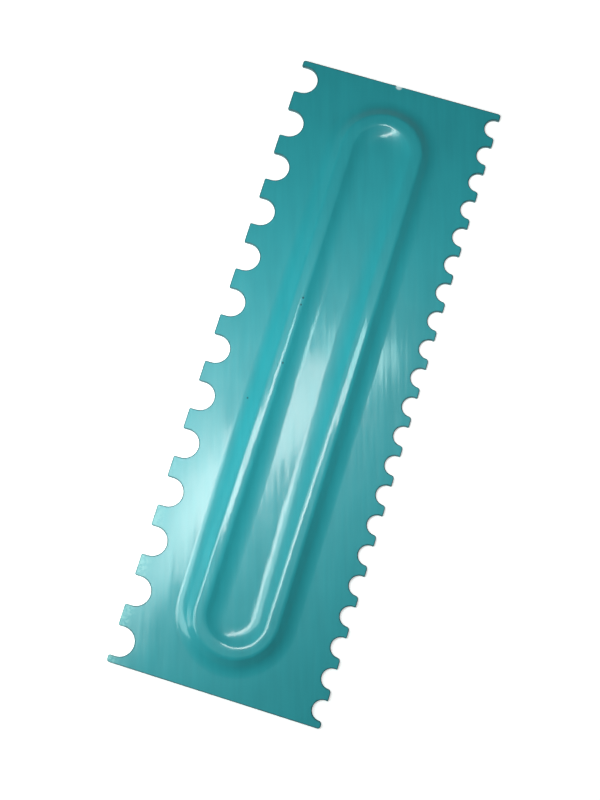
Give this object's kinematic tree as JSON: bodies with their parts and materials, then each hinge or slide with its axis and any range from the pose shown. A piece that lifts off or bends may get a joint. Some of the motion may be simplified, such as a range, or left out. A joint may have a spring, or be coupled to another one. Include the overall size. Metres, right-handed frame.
{
  "type": "icing smoother",
  "caption": "Flat icing comb: a thin glossy plate with coarse round notches along one long edge, fine ones along the other, and a raised oval grip ridge on its face.",
  "frame": {"origin": "centre of the plate's back face, where it rests on a table", "axes": "+Z out of the front, where the ridge stands; +Y along the plate, towards the end with the gate mark; +X towards the fine edge, so the coarse edge is at -X"},
  "size_m": [0.0746, 0.225, 0.0039],
  "materials": {
    "teal_plastic": "glossy moulded teal plastic"
  },
  "bodies": {
    "root": {"comb_plate": "teal_plastic"}
  },
  "joints": []
}
